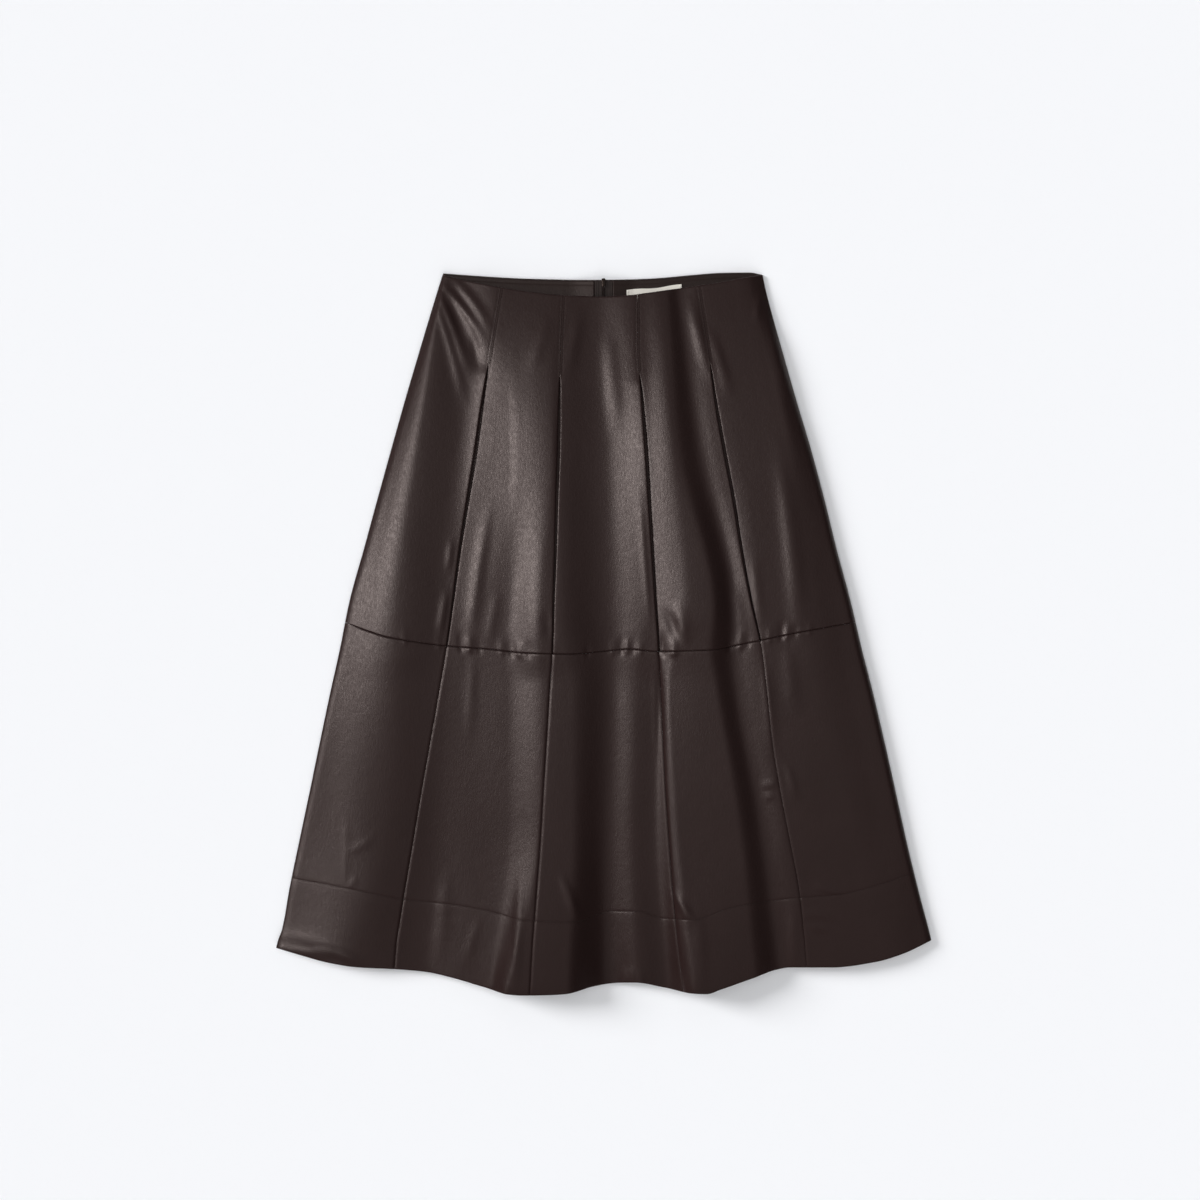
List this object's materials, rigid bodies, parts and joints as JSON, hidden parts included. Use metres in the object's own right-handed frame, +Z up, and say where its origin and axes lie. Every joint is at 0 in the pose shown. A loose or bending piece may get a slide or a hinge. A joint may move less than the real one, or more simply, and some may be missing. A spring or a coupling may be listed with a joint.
{
  "type": "leather skirt",
  "caption": "Flared midi skirt in faux leather, laid flat: two tiers of gores with stitched-down inverted pleats, back zip and open waist and hem.",
  "frame": {"origin": "middle of the skirt's outline, on the surface that it lies on", "axes": "+Z up from the surface, +Y towards the waist, +X to the right as seen from above"},
  "size_m": [0.7386, 0.8184, 0.034],
  "materials": {
    "leather": "satin polyurethane face with a fine upright grain",
    "leather_facing": "same cloth, seen inside",
    "zip_tape": "woven polyester tape",
    "zip_coil": "nylon coil",
    "zip_metal": "lacquered zinc",
    "label_satin": "woven satin"
  },
  "bodies": {
    "skirt": {"front_upper_1": "leather", "front_upper_2": "leather", "front_upper_3": "leather", "front_upper_4": "leather", "front_upper_5": "leather", "front_lower_1": "leather", "front_lower_2": "leather", "front_lower_3": "leather", "front_lower_4": "leather", "front_lower_5": "leather", "pleat_underlay_1": "leather", "pleat_underlay_2": "leather", "pleat_underlay_3": "leather", "pleat_underlay_4": "leather", "back_upper_1": "leather", "back_upper_2": "leather", "back_upper_3": "leather", "back_upper_4": "leather", "back_upper_5": "leather", "back_upper_6": "leather", "back_lower_1": "leather", "back_lower_2": "leather", "back_lower_3": "leather", "back_lower_4": "leather", "back_lower_5": "leather", "back_lower_6": "leather", "back_facing_left": "leather_facing", "back_facing_right": "leather_facing", "zip_tape_left": "zip_tape", "zip_tape_right": "zip_tape", "zip_coil": "zip_coil", "label": "label_satin", "zip_slider": "zip_metal"},
    "pull_tab": {"zip_pull_tab": "zip_metal"}
  },
  "joints": [
    {"name": "pull_tab_swing", "type": "hinge", "parent": "skirt", "child": "pull_tab", "pos_m": [0, 0.3975, 0.0015], "axis": [1, 0, 0], "range_deg": [0, 180]}
  ]
}
